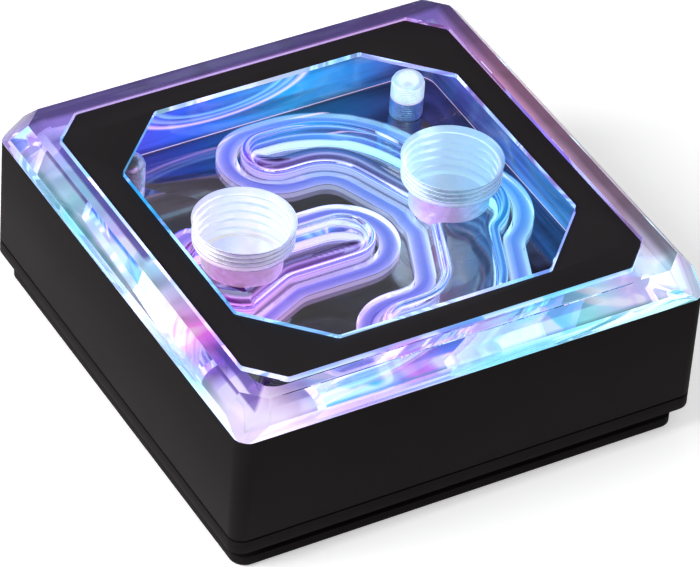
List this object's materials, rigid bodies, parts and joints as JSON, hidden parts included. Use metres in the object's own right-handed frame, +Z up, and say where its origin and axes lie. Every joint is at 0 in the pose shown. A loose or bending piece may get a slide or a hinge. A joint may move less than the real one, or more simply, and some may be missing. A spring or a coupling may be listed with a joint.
{
  "type": "cpu water block",
  "caption": "Square liquid cooling block for a processor with a clear lit top, black frame and two threaded ports",
  "frame": {"origin": "centre of the contact face under the cold plate", "axes": "X from the inlet port to the outlet port, front face toward -Y, Z up through the ports"},
  "size_m": [0.066, 0.066, 0.0262],
  "materials": {
    "clear_acrylic": "polished",
    "black_trim": "satin",
    "adhesive_film": "matte",
    "black_housing": "satin",
    "black_ring": "satin",
    "black_base": "satin",
    "nickel_plate": "polished",
    "mirror_plate": "polished",
    "jet_steel": "brushed",
    "seal_rubber": "matte",
    "cold_seal_rubber": "matte",
    "screw_steel": "satin",
    "black_screw": "satin",
    "white_board": "satin",
    "lamp_white": "gloss",
    "lamp_lens": "polished",
    "chip_ceramic": "matte",
    "socket_plastic": "matte",
    "grommet_rubber": "matte"
  },
  "bodies": {
    "root": {"top_block": "clear_acrylic", "trim_plate": "black_trim", "trim_tape": "adhesive_film", "housing": "black_housing", "lower_ring": "black_ring", "base_plate": "black_base", "cold_plate": "nickel_plate", "flow_plate": "mirror_plate", "jet_plate": "jet_steel", "inlet_channel_seal": "seal_rubber", "outlet_channel_seal": "seal_rubber", "cold_plate_seal": "cold_seal_rubber", "main_screws": "screw_steel", "base_screws": "black_screw", "frame_screws": "black_screw", "led_board": "white_board", "board_screws": "screw_steel", "led_packages": "lamp_white", "led_lenses": "lamp_lens", "led_capacitors": "chip_ceramic", "cable_socket": "socket_plastic", "cable_grommet": "grommet_rubber"}
  },
  "joints": []
}
